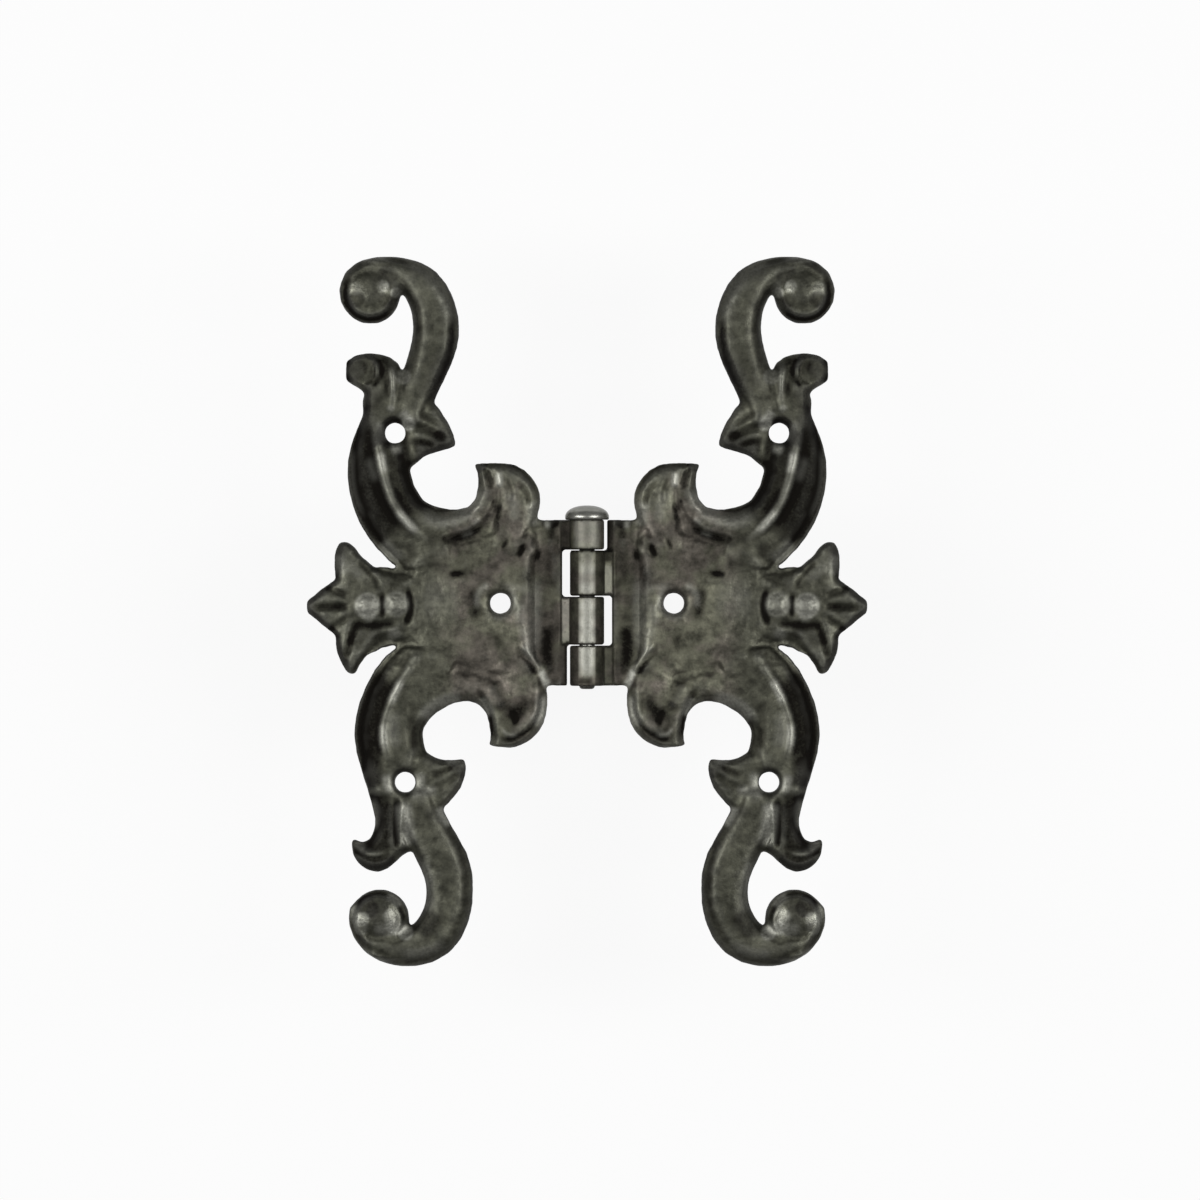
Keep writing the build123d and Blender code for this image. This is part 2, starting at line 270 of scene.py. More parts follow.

# Strokes that shape the surface: line, width, depth, tone, fade, section and hold. The tone paints black
# patina into cuts, painted shade on falling faces and painted highlights on crests. The order counts
# where a hollow is filled up to a level.
CUTS = (
    # Upper arm, with painted shade on its outer and inner faces and painted highlights on its crest.
    (UPPER_ARM_CREST, 5.6, -1.1, 0.0, 0.16, OUTER),
    (UPPER_ARM_CREST[:7], 1.5, 0.0, -0.95, 0.22, OUTER, 4.6),
    (UPPER_ARM_CREST, 4.0, -0.45, 0.0, 0.16, INNER),
    (UPPER_ARM_CREST[:7], 1.2, 0.0, -0.7, 0.2, INNER, 4.0),
    (UPPER_ARM_CREST, 2.6, 0.25),
    (((381, 450), (382, 462), (385, 476)), 1.9, 0.05, 0.75, 0.3),
    (((396, 508), (405, 520), (419, 534)), 1.8, 0.05, 0.75, 0.3),
    (((366, 440), (370, 466), (377, 492), (388, 514), (402, 532)), 1.5, -0.25, -0.12),
    (((354, 446), (352, 470), (355, 496), (366, 520)), 1.3, 0.2, 0.12),
    # Lower arm, with painted shade on its faces and painted highlights on its crest.
    (LOWER_ARM_CREST, 4.8, -1.1, 0.0, 0.16, OUTER),
    (LOWER_ARM_CREST[1:], 1.3, 0.0, -0.88, 0.22, OUTER, 5.0),
    (LOWER_ARM_CREST, 4.8, -0.3, 0.0, 0.16, INNER),
    (LOWER_ARM_CREST, 2.6, 0.25),
    (((403, 677), (395, 694), (390, 706)), 1.8, 0.05, 0.7, 0.3),
    (((384, 720), (383, 736), (386, 752)), 1.7, 0.05, 0.6, 0.3),
    (((414, 702), (412, 726), (414, 752)), 2.4, -0.15, -0.4),
    # Upper scroll and its eye, with painted shade round the eye.
    (UPPER_SCROLL_BACK, 6.4, 0.05),
    (UPPER_SCROLL_RIM[:5], 1.9, -0.1, -0.65, 0.3),
    (UPPER_SCROLL_RIM[4:], 1.2, -0.1, -0.15),
    (UPPER_SCROLL_VEIN, 1.8, -0.1, -0.25),
    (UPPER_EYE_HOLLOW, 5.4, 2.6, 0.04, 0.3, LEVEL),
    (UPPER_EYE_RIM, 1.7, -0.4, -0.75),
    # Upper stem and its knob.
    (((384, 352), (385, 376), (388, 400)), 2.2, -0.35, -0.5, 0.25),
    (((394, 362), (393, 386), (394, 408)), 1.3, 0.15, 0.16, 0.25),
    (((388, 405), (395, 412)), 1.5, 0.1, 0.45, 0.4),
    (((374, 356), (382, 366), (380, 380), (370, 387)), 1.4, -0.3, -0.7),
    (((349, 358), (347, 372), (351, 384)), 1.8, -0.3, -1.0),
    # Upper side leaf and hook.
    (((410, 427), (428, 429), (448, 441)), 1.5, -0.4, -0.3, 0.2, VEE),
    (((418, 412), (430, 420), (440, 426)), 1.1, -0.3, -0.4, 0.3, VEE),
    (((412, 440), (424, 442), (436, 447)), 1.1, -0.3, -0.4, 0.3, VEE),
    (((486, 520), (477, 531), (458, 538), (438, 541)), 1.5, -0.45, -0.3, 0.3),
    (((416, 511), (434, 521), (450, 522), (468, 514), (479, 500), (482, 482)), 3.4, 0.2, 0.32),
    (((472, 526), (481, 517)), 1.4, 0.1, 0.4, 0.4),
    # Flecks on the body.
    (((442, 575), (456, 574), (471, 572)), 1.2, -0.35, -0.7, 0.45),
    (((526, 542), (521, 552), (517, 560)), 1.2, -0.4, -0.8, 0.45),
    (((541, 547), (538, 555), (537, 563)), 1.2, -0.4, -0.8, 0.45),
    (((508, 538), (501, 551)), 1.0, -0.3, -0.4, 0.25, VEE),
    (((529, 528), (522, 540)), 1.0, -0.25, -0.35, 0.25, VEE),
    # Upper lobe.
    (((484, 466), (489, 479), (492, 490)), 1.5, -0.5, -0.3),
    (((498, 471), (500, 480), (499, 489)), 1.6, 0.15, 0.8, 0.3),
    (((506, 478), (513, 492), (511, 506)), 0.9, -0.25, -0.35, 0.3),
    (((476, 464), (505, 465), (522, 471), (534, 483), (540, 497)), 1.3, -0.3, -0.15, 0.15),
    (((513, 480), (523, 487), (529, 498), (528, 510)), 1.0, -0.3, -0.4, 0.3),
    (((541, 508), (547, 518), (548, 530)), 1.3, 0.2, 0.6),
    (((551, 508), (553, 524), (551, 540)), 1.6, -0.2, -0.5),
    # Lower lobe.
    (((474, 580), (474, 602), (479, 626)), 3.4, -0.1, -0.78, 0.3),
    (((519, 596), (520, 624), (528, 648), (537, 662)), 2.2, 0.12, 0.14),
    (((514, 646), (526, 656), (539, 673)), 1.2, -0.35, -0.12, 0.2, VEE),
    (((540, 668), (544, 679), (550, 690)), 1.6, 0.2, 1.0),
    (((519, 644), (531, 655), (543, 672)), 1.6, 0.25, 0.24),
    (((541, 690), (541, 708), (534, 726), (519, 738), (500, 741)), 1.3, -0.35, -0.6, 0.15, VEE),
    (((476, 688), (485, 702), (490, 720), (492, 738)), 1.5, -0.5, -0.35),
    (((492, 678), (499, 696), (504, 712)), 3.0, 0.2, -0.5, 0.25),
    (((529, 692), (522, 710), (507, 722)), 3.6, -0.1, -0.85, 0.3),
    (((530, 690), (534, 704), (530, 718)), 0.9, -0.25, -0.3, 0.3),
    (((500, 726), (508, 736), (520, 734)), 0.9, 0.15, 0.35, 0.3),
    (((508, 708), (516, 716), (514, 728)), 1.0, -0.3, -0.4, 0.3),
    # Lower side leaf, stem and hook.
    (((426, 792), (443, 786), (461, 772)), 1.4, -0.3, 0.0, 0.2, VEE),
    (((428, 776), (442, 772), (456, 764)), 1.1, -0.3, -0.4, 0.3, VEE),
    (((397, 796), (397, 822), (398, 850)), 1.5, -0.55, -0.7, 0.15),
    (((397, 790), (397, 822), (398, 856)), 1.6, -0.4, -0.8, 0.15, OUTER, 5.0),
    (((403, 800), (406, 824), (409, 848)), 3.6, 0.22, 0.62),
    (((352, 845), (362, 856), (378, 860), (392, 852)), 1.3, -0.4, -0.25),
    # Lower scroll and its eye, with painted shade round the eye.
    (LOWER_SCROLL_BACK, 6.4, 0.05),
    (LOWER_SCROLL_RIM, 1.7, -0.12, -0.22),
    (((431, 872), (434, 900), (429, 920), (416, 936), (402, 945)), 2.4, -0.1, -0.12, 0.25),
    (LOWER_EYE_HOLLOW, 5.4, 2.6, 0.0, 0.3, LEVEL),
    (((397, 901), (403, 912), (406, 923)), 1.1, -0.2, -0.35, 0.3),
    (LOWER_EYE_RIM, 1.5, -0.4, -0.3),
    # Finial.
    (((352, 606), (334, 607), (312, 607)), 1.4, -0.45, -0.5, 0.2, VEE),
    (((380, 590), (372, 574), (358, 560)), 1.2, -0.35, -0.4, 0.2, VEE),
    (((358, 620), (350, 640), (346, 660)), 1.4, -0.45, -0.5, 0.2, VEE),
    (((350, 598), (334, 590), (322, 586)), 1.1, -0.35, -0.4, 0.2, VEE),
    (((350, 616), (336, 626), (326, 632)), 1.1, -0.35, -0.4, 0.2, VEE),
    (((406, 586), (411, 600), (410, 616), (403, 626)), 1.5, -0.5, -0.9),
    (((382, 592), (383, 606), (382, 620)), 1.3, -0.35, -0.7),
    (((352, 624), (368, 625), (384, 624), (400, 624)), 2.0, -0.3, -0.7),
    # Body and the strip beside the barrel.
    (((430, 606), (480, 606), (540, 606)), 15.0, 0.1),
    (((462, 640), (484, 642), (506, 636)), 5.0, -0.1, -0.26, 0.25),
    (((541, 548), (541, 606), (541, 668)), 4.6, -0.8, -0.2, 0.12),
    (((549, 530), (552, 560), (550, 590)), 3.0, 0.25, -0.3),
    (((549, 622), (547, 650), (550, 676)), 3.0, 0.25, -0.6),
    (((490, 582), (476, 594), (478, 610)), 1.6, 0.15, 0.25),
)

# Strokes that only paint the tone, bright for painted highlights and worn metal and black for painted
# shade and patina: width, tone, fade and the points of the line.
TONES = (
    # Arms.
    (3.2, 0.3, 0.25, (380, 541), (391, 553), (402, 562)),
    (3.4, -0.6, 0.3, (406, 540), (415, 562)),
    (3.0, -0.8, 0.25, (372, 432), (378, 448)),
    (3.4, -0.6, 0.2, (366, 402), (371, 424), (378, 448)),
    (1.3, 0.12, 0.2, (384, 474), (389, 492), (396, 508)),
    (2.8, -0.4, 0.3, (391, 486), (400, 504), (413, 518)),
    (2.4, 0.16, 0.3, (368, 455), (372, 470), (378, 484)),
    (4.6, -0.95, 0.25, (368, 756), (379, 790)),
    (3.2, 0.22, 0.25, (394, 708), (393, 730), (396, 750)),
    (2.8, 0.5, 0.2, (421, 722), (430, 707), (446, 699), (464, 697)),
    # Upper scroll.
    (2.4, 0.2, 0.2, (450, 326), (447, 304), (432, 276), (402, 260)),
    (6.5, -0.5, 0.3, (424, 404), (437, 374), (444, 345)),
    (2.2, -0.3, 0.3, (424, 290), (420, 302), (423, 314)),
    # Round the three screw holes.
    (2.2, 0.6, 0.25, (402, 411), (410, 424)),
    (2.4, 0.5, 0.3, (403, 447), (390, 450)),
    (2.4, -0.3, 0.3, (413, 436), (409, 446)),
    (1.7, -0.6, 0.25, (384, 428), (389, 419), (400, 418)),
    (1.8, 0.3, 0.3, (378, 420), (383, 432), (388, 444)),
    (1.7, -0.6, 0.25, (396, 775), (404, 769), (413, 772)),
    (2.2, 0.62, 0.3, (386, 772), (388, 783), (392, 794)),
    (2.2, 0.5, 0.3, (419, 770), (421, 780), (417, 790)),
    (1.9, 0.4, 0.25, (487, 611), (499, 618), (511, 611), (514, 596), (508, 586)),
    (1.8, 0.2, 0.3, (500, 586), (514, 587), (530, 590)),
    # Upper knob, stem, side leaf and hook.
    (7.0, -0.75, 0.08, (344, 362), (356, 368), (378, 366)),
    (4.0, -0.52, 0.2, (370, 384), (375, 396), (375, 412)),
    (2.6, -0.35, 0.3, (405, 386), (406, 404)),
    (4.8, -0.8, 0.12, (412, 449), (430, 446), (449, 440)),
    (3.0, -0.7, 0.2, (436, 430), (446, 438), (453, 446)),
    (3.4, -0.62, 0.3, (450, 536), (436, 537), (422, 542)),
    (2.4, 0.2, 0.3, (474, 530), (460, 534)),
    # Upper lobe.
    (6.0, -0.1, 0.1, (500, 476), (516, 486), (524, 504), (522, 530)),
    (3.0, 0.42, 0.25, (530, 500), (534, 512), (534, 528)),
    (3.4, -0.6, 0.3, (490, 486), (489, 506)),
    (3.0, -0.55, 0.25, (496, 498), (499, 515), (503, 532), (500, 548)),
    (3.0, -1.0, 0.3, (475, 464), (488, 467)),
    (2.6, 0.24, 0.25, (509, 490), (515, 506), (514, 524)),
    (7.0, -0.3, 0.15, (500, 540), (513, 562), (519, 590)),
    # Lower lobe.
    (2.8, -0.45, 0.3, (522, 660), (536, 677)),
    (3.2, 0.48, 0.25, (544, 692), (543, 712), (536, 729)),
    (6.5, -0.5, 0.1, (499, 700), (508, 716), (510, 732), (504, 744)),
    (5.0, -0.36, 0.25, (494, 628), (506, 652), (514, 672)),
    (4.0, -0.3, 0.2, (528, 664), (537, 690)),
    (2.4, 0.45, 0.25, (480, 696), (487, 706), (490, 718)),
    # Lower side leaf, stem and hook.
    (2.4, 0.42, 0.25, (408, 795), (422, 790), (440, 790)),
    (3.0, -0.35, 0.3, (424, 806), (434, 818)),
    (4.0, -0.25, 0.2, (434, 768), (452, 776), (459, 790)),
    (2.8, -0.6, 0.2, (387, 800), (391, 840)),
    (2.6, -0.7, 0.2, (446, 766), (460, 766), (464, 780)),
    (2.2, 0.7, 0.2, (439, 805), (443, 815), (451, 826)),
    (3.8, -0.85, 0.1, (352, 848), (364, 862), (382, 866), (396, 856)),
    (2.0, 0.28, 0.25, (372, 796), (377, 815), (373, 832)),
    (2.0, 0.28, 0.3, (354, 841), (366, 850)),
    (2.0, 0.4, 0.3, (445, 760), (462, 760)),
    # Lower scroll and its eye.
    (3.8, -0.75, 0.25, (440, 908), (434, 926), (418, 938)),
    (2.4, 0.28, 0.25, (400, 953), (425, 953), (447, 941)),
    (2.6, 0.68, 0.25, (372, 928), (392, 929), (410, 927)),
    (1.8, 0.45, 0.3, (355, 900), (354, 914), (357, 928)),
    (1.8, 0.5, 0.25, (386, 893), (395, 899), (401, 908)),
    (2.0, 0.26, 0.2, (423, 856), (430, 880), (431, 902), (426, 916)),
    (3.0, -0.25, 0.25, (372, 948), (392, 952), (412, 944)),
    # Finial.
    (2.6, 0.25, 0.25, (339, 552), (341, 566), (346, 578)),
    (2.8, -0.8, 0.05, *FINIAL_EDGE),
    (3.4, -0.5, 0.2, (346, 646), (362, 634), (388, 628)),
    (2.4, 0.2, 0.3, (345, 558), (355, 571), (366, 580)),
    (2.6, 0.3, 0.3, (386, 637), (402, 632)),
    # Body and the strip beside the barrel.
    (9.0, 0.12, 0.2, (420, 596), (440, 600), (462, 598)),
    (7.0, -0.38, 0.2, (448, 562), (474, 566), (498, 580)),
    (6.0, -0.16, 0.15, (420, 560), (460, 552), (500, 545)),
    (7.0, -0.16, 0.15, (410, 668), (440, 660), (480, 660), (500, 668)),
    (2.8, 0.24, 0.25, (536, 572), (536, 606), (534, 658)),
    (2.8, -0.36, 0.25, (527, 556), (526, 590), (525, 630)),
    (2.0, 0.2, 0.25, (560, 650), (560, 676)),
    (2.4, -0.8, 0.1, (541, 521), (556, 522), (566, 522)),
)
STROKES = (
    *(Stroke(*cut) for cut in CUTS),
    *(Stroke(tuple(line), width, 0.0, tone, fade) for width, tone, fade, *line in TONES),
)

# Centre, radius, tone, rim, crown, ring of painted shade and polish of each dome. The tone paints the
# finial's bosses bright, as worn metal and as a painted highlight.
BOSSES = (
    Boss((370.5, 291.0), 3.3, 0.0, 2.35, 2.98, 0.2, 1.0),
    Boss((378.0, 917.0), 3.3, 0.0, 2.35, 2.98, 0.12, 1.0),
    Boss((362.0, 371.0), 2.1, 0.0, 2.0, 2.25),
    Boss((367.5, 605.5), 1.9, 0.5, 2.15, 2.58, 0.1),
    Boss((396.5, 604.0), 1.9, 0.32, 2.15, 2.58, 0.2),
)

# Spots of painted highlight and painted shade: centre, radius and tone.
SPOTS = (
    # Upper eye.
    Spot((355.5, 289.0), 1.0, 0.12),
    Spot((384.0, 287.0), 0.9, 0.36),
    Spot((357.0, 300.0), 1.3, -0.6),
    Spot((396.0, 293.0), 0.8, 0.35),
    Spot((385.0, 301.0), 1.1, -0.45),
    Spot((388.0, 276.0), 1.6, -0.35),
    # Lower eye.
    Spot((363.0, 918.0), 1.0, 0.36),
    Spot((392.0, 916.0), 1.2, 0.4),
    Spot((406.0, 932.0), 1.1, 0.6),
    Spot((378.0, 912.0), 1.5, -0.45),
    Spot((394.0, 926.0), 1.1, 0.4),
    Spot((361.0, 927.0), 1.1, 0.25),
    Spot((368.0, 906.0), 1.6, -0.75),
    # Knob and stem.
    Spot((371.0, 366.0), 1.2, -0.3),
    Spot((355.0, 369.0), 1.9, -0.45),
    Spot((403.0, 377.0), 1.2, 0.3),
    Spot((409.0, 424.0), 1.0, 0.7),
    # Upper lobe and finial.
    Spot((527.0, 542.0), 1.3, -0.4),
    Spot((369.0, 615.0), 1.0, 0.3),
)


def put(name: str, data: bpy.types.ID) -> bpy.types.Object:
    """New object in the scene.

    Args:
        name: Name of the object.
        data: Mesh, light or camera that it holds.

    Returns:
        The object.
    """
    made = bpy.data.objects.new(name, data)
    bpy.context.scene.collection.objects.link(made)
    return made


def mesh_edges(mesh: bpy.types.Mesh) -> Array:
    """Pairs of vertices that the edges of a mesh join.

    Args:
        mesh: The mesh.

    Returns:
        Two vertex numbers a row.
    """
    pairs = np.empty(len(mesh.edges) * 2, dtype=np.int32)
    mesh.edges.foreach_get("vertices", pairs)
    return pairs.reshape(-1, 2)


def spread(values: Array, pairs: Array, rounds: int) -> Array:
    """Values averaged with their neighbours along the edges.

    Args:
        values: One value for each vertex.
        pairs: Pairs of vertices that the edges join.
        rounds: How many times the average is taken.

    Returns:
        The averaged values.
    """
    both = np.concatenate([pairs, pairs[:, ::-1]])
    count = np.maximum(np.bincount(both[:, 0], minlength=len(values)), 1)
    for _ in range(rounds):
        total = np.bincount(both[:, 0], weights=values[both[:, 1]], minlength=len(values))
        values = 0.5 * values + 0.5 * total / count
    return values


def even_out(
    points: Array, axes: tuple[int, ...], pairs: Array, rounds: int, held: Array,
) -> None:
    """Average points with their neighbours, and add back what the average shrinks.

    Args:
        points: Places of the vertices, which are moved.
        axes: Axes along which they move.
        pairs: Pairs of vertices that the edges join.
        rounds: How many times the average is taken.
        held: Share of the move that each vertex makes.
    """
    for axis in axes:
        once = spread(points[:, axis], pairs, rounds)
        twice = spread(once, pairs, rounds)
        points[:, axis] += (2.0 * once - twice - points[:, axis]) * held


def store_masks(mesh: bpy.types.Mesh, masks: dict[str, Array]) -> None:
    """Keep the masks that the finish reads as attributes of a mesh.

    Args:
        mesh: The mesh of a piece.
        masks: Name of each mask and its value from 0 to 1 at each vertex.
    """
    for name, values in masks.items():
        mask = mesh.attributes.new(name, "FLOAT", "POINT")
        mask.data.foreach_set("value", np.clip(values, 0.0, 1.0).astype(np.float32))


@dataclass
class NodeBoard:
    """Short way to lay out the nodes of one material or group."""

    tree: bpy.types.NodeTree

    def add(self, kind: str, inputs: Inputs | None = None, **settings: object) -> bpy.types.Node:
        """New node.

        Args:
            kind: Type of the node.
            inputs: What each input gets, which is a socket to link or a plain value.
            **settings: Properties of the node.

        Returns:
            The node.
        """
        node = self.tree.nodes.new(kind)
        for name, value in settings.items():
            setattr(node, name, value)
        for name, value in (inputs or {}).items():
            if isinstance(value, Socket):
                self.tree.links.new(value, node.inputs[name])
            else:
                node.inputs[name].default_value = value
        return node

    def maths(self, operation: str, first: object, second: object, clamp: bool = False) -> Socket:
        """Result of one sum, held between 0 and 1 where clamp says so."""
        node = self.add("ShaderNodeMath", {0: first, 1: second}, operation=operation, use_clamp=clamp)
        return node.outputs[0]

    def times(self, first: object, second: object, clamp: bool = False) -> Socket:
        """Product of two values."""
        return self.maths("MULTIPLY", first, second, clamp)

    def plus(self, first: object, second: object) -> Socket:
        """Sum of two values."""
        return self.maths("ADD", first, second)

    def span(self, value: object, low: float, high: float, start: float = 0.0, end: float = 1.0) -> Socket:
        """Value taken from the range of low to high to that of start to end."""
        ends = {"From Min": low, "From Max": high, "To Min": start, "To Max": end}
        return self.add("ShaderNodeMapRange", {"Value": value} | ends).outputs["Result"]

    def blend(self, share: object, first: object, second: object) -> Socket:
        """Colour between two others, the first where the share is 0."""
        return self.add("ShaderNodeMix", {0: share, 6: first, 7: second}, data_type="RGBA").outputs[2]


def bare_material(name: str) -> tuple[bpy.types.Material, NodeBoard]:
    """New material with no nodes yet.

    Args:
        name: Name of the material.

    Returns:
        The material and a board for its nodes.
    """
    made = bpy.data.materials.new(name)
    made.use_nodes = True
    made.node_tree.nodes.clear()
    return made, NodeBoard(made.node_tree)


class SurfaceGroups:
    """Shared surface effects, each built once as a group of nodes."""

    # Cells a metre, octaves and strength of the finer octaves of each noise in the cast skin.
    GRAINS = {"Patch": (170.0, 3.0, 0.55), "Mottle": (620.0, 4.0, 0.6), "Fine": (2600.0, 4.0, 0.6)}
    PIT_CELLS = 1500.0
    PIT_REACH = 0.32

    def __init__(self) -> None:
        """Build both groups."""
        self.grain = self._cast_grain()
        self.tone_and_painted_light = self._antique_tone_and_painted_light()

    @staticmethod
    def _open(name: str, inputs: Titles, outputs: Titles) -> tuple[NodeBoard, bpy.types.bpy_prop_collection]:
        """New group with its sockets.

        Args:
            name: Name of the group.
            inputs: Kinds of input, each with the names of its sockets.
            outputs: Kinds of output, each with the names of its sockets.

        Returns:
            A board for the group's nodes, and the sockets that bring its inputs.
        """
        board = NodeBoard(bpy.data.node_groups.new(name, "ShaderNodeTree"))
        for way, titles in (("INPUT", inputs), ("OUTPUT", outputs)):
            for kind, names in titles.items():
                for title in names:
                    board.tree.interface.new_socket(name=title, in_out=way, socket_type=f"NodeSocket{kind}")
        return board, board.add("NodeGroupInput").outputs

    def _cast_grain(self) -> bpy.types.NodeTree:
        """Mottled, pitted skin that sand casting leaves.

        Returns:
            The group.
        """
        board, given = self._open(
            "cast_grain",
            {"Vector": ("Vector",), "Float": ("Pitting", "Polish")},
            {"Float": ("Patch", "Mottle", "Fine", "Height")},
        )
        where = {"Vector": given["Vector"]}
        grain = {}
        for title, (cells, octaves, finer) in self.GRAINS.items():
            shape = {"Scale": cells, "Detail": octaves, "Roughness": finer}
            grain[title] = board.add("ShaderNodeTexNoise", where | shape).outputs["Fac"]
        pits = board.add("ShaderNodeTexVoronoi", where | {"Scale": self.PIT_CELLS}, feature="F1")
        pits = board.span(pits.outputs["Distance"], 0.0, self.PIT_REACH, 1.0, 0.0)
        pits = board.times(pits, board.span(grain["Mottle"], 0.5, 0.62))
        pits = board.times(pits, given["Pitting"])
        pits = board.times(pits, board.span(given["Polish"], 0.0, 0.8, 1.0, 0.1))
        swell = board.plus(board.times(grain["Mottle"], 0.5), board.times(grain["Fine"], 0.3))
        board.add("NodeGroupOutput", grain | {"Height": board.maths("SUBTRACT", swell, pits)})
        return board.tree

    def _antique_tone_and_painted_light(self) -> bpy.types.NodeTree:
        """Patina, painted shade, worn crests and painted highlights over an iron field with brown tints.

        Returns:
            The group.
        """
        board, given = self._open(
            "antique_tone_and_painted_light",
            {
                "Color": ("Field", "Black", "Rubbed_and_highlight", "Brown", "Olive"),
                "Float": ("Hollow", "Crest", "Patina_and_shade", "Rub_and_highlight", "Tint", "Polish", "Patch", "Mottle", "Fine"),
            },
            {"Color": ("Color",), "Float": ("Roughness",)},
        )
        patch, mottle, fine = given["Patch"], given["Mottle"], given["Fine"]
        # The metal itself, stained brown in places and olive in others, and cloudy.
        stain = board.times(given["Tint"], board.span(mottle, 0.25, 0.55, 0.65, 1.0), True)
        tinted = board.blend(board.span(patch, 0.43, 0.57), given["Brown"], given["Olive"])
        metal = board.blend(stain, given["Field"], tinted)
        cloud = board.times(board.span(patch, 0.3, 0.7, 0.74, 1.26), board.span(mottle, 0.3, 0.7, 0.52, 1.5))
        metal = board.add("ShaderNodeVectorMath", {0: metal, "Scale": cloud}, operation="SCALE").outputs[0]
        # Black in the hollows with painted shade, and bright where it is worn and where a highlight is
        # painted.
        dark = board.plus(given["Hollow"], given["Patina_and_shade"])
        dark = board.times(dark, board.span(fine, 0.25, 0.7, 1.15, 0.75), True)
        bright = board.plus(board.times(given["Crest"], 0.6), given["Rub_and_highlight"])
        bright = board.times(bright, board.span(fine, 0.3, 0.65, 0.65, 1.1), True)
        colour = board.blend(bright, board.blend(dark, metal, given["Black"]), given["Rubbed_and_highlight"])
        # Roughest where it is painted black, and smoother where it is painted bright or polished.
        rough = board.span(dark, 0.0, 1.0, 0.55, 0.82)
        rough = board.maths("SUBTRACT", rough, board.times(bright, 0.06))
        rough = board.maths("SUBTRACT", rough, board.times(given["Polish"], 0.2))
        rough = board.plus(rough, board.span(fine, 0.3, 0.7, -0.05, 0.06))
        board.add("NodeGroupOutput", {"Color": colour, "Roughness": rough})
        return board.tree


@dataclass(frozen=True)
class AntiqueMetal:
    """Blackened metal with a cast skin, worn back on its crests, with painted highlights and painted shade.
    """

    name: str
    field: Colour
    black: Colour
    rubbed_and_highlight: Colour
    brown: Colour
    olive: Colour
    pitting: float
    relief: float
    relief_height: float = 0.2
    metallic: float = 0.92

    def material(self, groups: SurfaceGroups) -> bpy.types.Material:
        """Material of this finish.

        Args:
            groups: The shared surface effects.

        Returns:
            The material.
        """
        made, board = bare_material(self.name)
        masks = {}
        for title in ("Hollow", "Crest", "Patina_and_shade", "Rub_and_highlight", "Tint", "Polish"):
            masks[title] = board.add("ShaderNodeAttribute", attribute_name=title.lower()).outputs["Fac"]
        where = board.add("ShaderNodeTexCoord").outputs["Object"]
        skin = {"Vector": where, "Pitting": self.pitting, "Polish": masks["Polish"]}
        grain = board.add("ShaderNodeGroup", skin, node_tree=groups.grain)
        colours = {
            "Field": self.field, "Black": self.black, "Rubbed_and_highlight": self.rubbed_and_highlight,
            "Brown": self.brown, "Olive": self.olive,
        }
        noises = {title: grain.outputs[title] for title in groups.GRAINS}
        tone_and_painted_light = board.add("ShaderNodeGroup", colours | masks | noises, node_tree=groups.tone_and_painted_light)
        bump = board.add("ShaderNodeBump", {
            "Strength": self.relief, "Distance": self.relief_height * MM, "Height": grain.outputs["Height"],
        })
        shader = board.add("ShaderNodeBsdfPrincipled", {
            "Base Color": tone_and_painted_light.outputs["Color"], "Metallic": self.metallic,
            "Roughness": tone_and_painted_light.outputs["Roughness"], "Normal": bump.outputs["Normal"],
        })
        board.add("ShaderNodeOutputMaterial", {"Surface": shader.outputs["BSDF"]})
        return made


